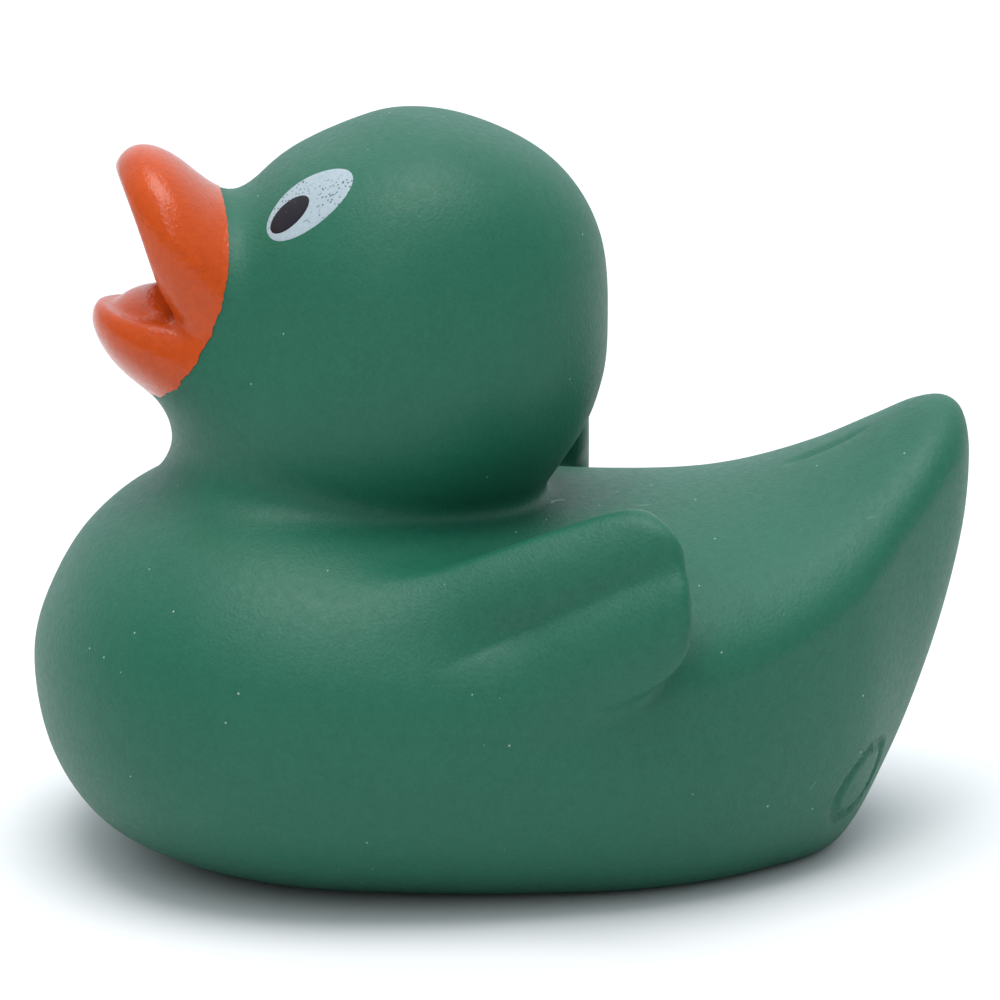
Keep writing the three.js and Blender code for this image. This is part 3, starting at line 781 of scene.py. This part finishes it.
def coat_material():
    """Semi-gloss orange with a fine orange peel over shallow waves."""
    material, tree, shader = blank_material("orange_paint")
    place = add(tree, "ShaderNodeTexCoord").outputs["Object"]
    cloud = between(tree, noise(tree, place, 120, 3), 0.3, 0.7)
    colour = mixed(tree, cloud, (0.47, 0.054, 0.003, 1), (0.54, 0.068, 0.004, 1))
    mottle = between(tree, noise(tree, place, 1700, 3), 0.4, 0.62)
    colour = mixed(tree, product(tree, mottle, 0.3), colour, (0.62, 0.08, 0.006, 1))
    tree.links.new(colour, shader.inputs["Base Color"])
    rough = between(tree, noise(tree, place, 1200, 2), 0.3, 0.7, 0.13, 0.22)
    tree.links.new(rough, shader.inputs["Roughness"])
    grain = bumped(tree, noise(tree, place, 2400, 3, 0.6), 0.00008, 0.8)
    grain = bumped(tree, noise(tree, place, 520, 2), 0.00012, 0.45, grain)
    tree.links.new(grain, shader.inputs["Normal"])
    shader.inputs["IOR"].default_value = 1.38
    return material


def print_material(name, colour, speckle, share):
    """A matt mottled print, with patches of pinholes in a second colour."""
    material, tree, shader = blank_material(name)
    place = add(tree, "ShaderNodeTexCoord").outputs["Object"]
    mottle = between(tree, noise(tree, place, 2600, 3), 0.35, 0.65)
    lighter = tuple(min(1, c * 1.18) for c in colour) + (1,)
    painted_colour = mixed(tree, product(tree, mottle, 0.5), colour + (1,), lighter)
    holes = specks(tree, place, 3200, 0.00011, share)
    patch = between(tree, noise(tree, place, 240, 2), 0.45, 0.6)
    painted_colour = mixed(tree, product(tree, holes, patch), painted_colour, speckle + (1,))
    tree.links.new(painted_colour, shader.inputs["Base Color"])
    shader.inputs["Roughness"].default_value = 0.5
    shader.inputs["IOR"].default_value = 1.3
    grain = bumped(tree, noise(tree, place, 2600, 2, 0.6), 0.00003, 0.4)
    tree.links.new(grain, shader.inputs["Normal"])
    return material


def plastic_material(name, colour, roughness):
    """Plain moulded plastic, slightly cloudy and slightly uneven in its gloss."""
    material, tree, shader = blank_material(name)
    place = add(tree, "ShaderNodeTexCoord").outputs["Object"]
    cloud = between(tree, noise(tree, place, 300, 3), 0.3, 0.7)
    darker = tuple(0.9 * c for c in colour) + (1,)
    tree.links.new(mixed(tree, cloud, darker, colour + (1,)), shader.inputs["Base Color"])
    least, most = roughness - 0.05, roughness + 0.05
    rough = between(tree, noise(tree, place, 900, 2), 0.3, 0.7, least, most)
    tree.links.new(rough, shader.inputs["Roughness"])
    grain = bumped(tree, noise(tree, place, 1800, 2), 0.00002, 0.4)
    tree.links.new(grain, shader.inputs["Normal"])
    return material


def floor_material():
    material, tree, shader = blank_material("floor")
    shader.inputs["Base Color"].default_value = (0.8, 0.8, 0.8, 1)
    shader.inputs["Roughness"].default_value = 0.9
    shader.inputs["Specular IOR Level"].default_value = 0.1
    return material


# ------------------------------------------------------------------ stage

def direction(azimuth, elevation):
    """The way towards an azimuth, in degrees from the front to the duck's left, and up."""
    a, e = math.radians(azimuth), math.radians(elevation)
    return Vector((math.sin(a) * math.cos(e), -math.cos(a) * math.cos(e), math.sin(e)))


def placed(obj, away, distance=0.0):
    """Puts a camera or a light so far away from the target, turned to look back at it."""
    obj.location = TARGET + distance * away
    obj.rotation_mode = "QUATERNION"
    obj.rotation_quaternion = (-away).to_track_quat("-Z", "Y")
    bpy.context.scene.collection.objects.link(obj)


def floor_plane():
    reach = FLOOR_REACH
    corners = [(-reach, -reach, 0), (reach, -reach, 0), (reach, reach, 0), (-reach, reach, 0)]
    floor = new_object("floor", corners, [(0, 1, 2, 3)])
    floor.data.materials.append(floor_material())


def studio():
    """A soft surround, brighter overhead and brighter behind the duck."""
    world = bpy.data.worlds.new("studio")
    bpy.context.scene.world = world
    world.use_nodes = True
    tree = world.node_tree
    tree.nodes["Background"].inputs["Color"].default_value = SKY
    way = add(tree, "ShaderNodeTexCoord").outputs["Generated"]
    up = add(tree, "ShaderNodeSeparateXYZ", {"Vector": way}).outputs["Z"]
    ahead = {0: way, 1: -direction(AZIMUTH, 0)}
    away = add(tree, "ShaderNodeVectorMath", ahead, operation="DOT_PRODUCT").outputs["Value"]
    overhead = between(tree, up, 0.0, 1.0, HORIZON, ZENITH)
    light = {0: overhead, 1: between(tree, away, 0.0, 1.0, 0.0, BEHIND)}
    strength = add(tree, "ShaderNodeMath", light).outputs[0]
    tree.links.new(strength, tree.nodes["Background"].inputs["Strength"])


def lamp():
    """A broad soft lamp, as far off as the sun so that it lights the floor evenly."""
    azimuth, elevation, strength, width = LAMP
    data = bpy.data.lights.new("lamp", "SUN")
    data.energy, data.angle = strength, math.radians(width)
    placed(bpy.data.objects.new("lamp", data), direction(azimuth, elevation))


def strip(number, azimuth, elevation):
    """One long narrow light, seen as a line of gloss."""
    distance, width, length, watts = STRIP
    data = bpy.data.lights.new(f"strip_{number}", "AREA")
    data.shape, data.size, data.size_y, data.energy = "RECTANGLE", width, length, watts
    placed(bpy.data.objects.new(f"strip_{number}", data), direction(azimuth, elevation), distance)


def camera():
    data = bpy.data.cameras.new("camera")
    data.lens, data.sensor_width = LENS, SENSOR
    data.clip_start, data.clip_end = 0.01, 20.0
    obj = bpy.data.objects.new("camera", data)
    placed(obj, direction(AZIMUTH, ELEVATION), DISTANCE)
    bpy.context.scene.camera = obj


# ------------------------------------------------------------------ assembly

camera()
floor_plane()
studio()
lamp()
for number, place in enumerate(STRIPS):
    strip(number, *place)
bpy.context.scene.view_settings.view_transform = "Standard"

dressed(vinyl_skin(), "body", vinyl_material(), ["body_shell"])
dressed(bill_coat(), "body", coat_material(), ["bill_paint"])
white = print_material("eye_white_print", (0.35, 0.42, 0.455), (0.04, 0.08, 0.07), 0.7)
black = print_material("pupil_print", (0.010, 0.008, 0.013), (0.05, 0.05, 0.06), 0.15)
for side, label in ((1, "left"), (-1, "right")):
    dressed(eye_print(f"eye_print_{label}", side, WHITE_OVAL, WHITE_LIFT),
            "body", white, [f"eye_white_{label}"])
    dressed(eye_print(f"pupil_print_{label}", side, PUPIL_OVAL, PUPIL_LIFT),
            "body", black, [f"pupil_{label}"])

ivory = plastic_material("ivory_plastic", (0.78, 0.75, 0.66), 0.38)
dressed(squeaker_cap(), "body", ivory, ["squeaker_housing"])
for node, material in (("reed_block", ivory), ("reed_clamp", ivory),
                       ("reed", plastic_material("reed_film", (0.86, 0.84, 0.76), 0.22))):
    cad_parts[node].data.materials.clear()
    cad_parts[node].data.materials.append(material)
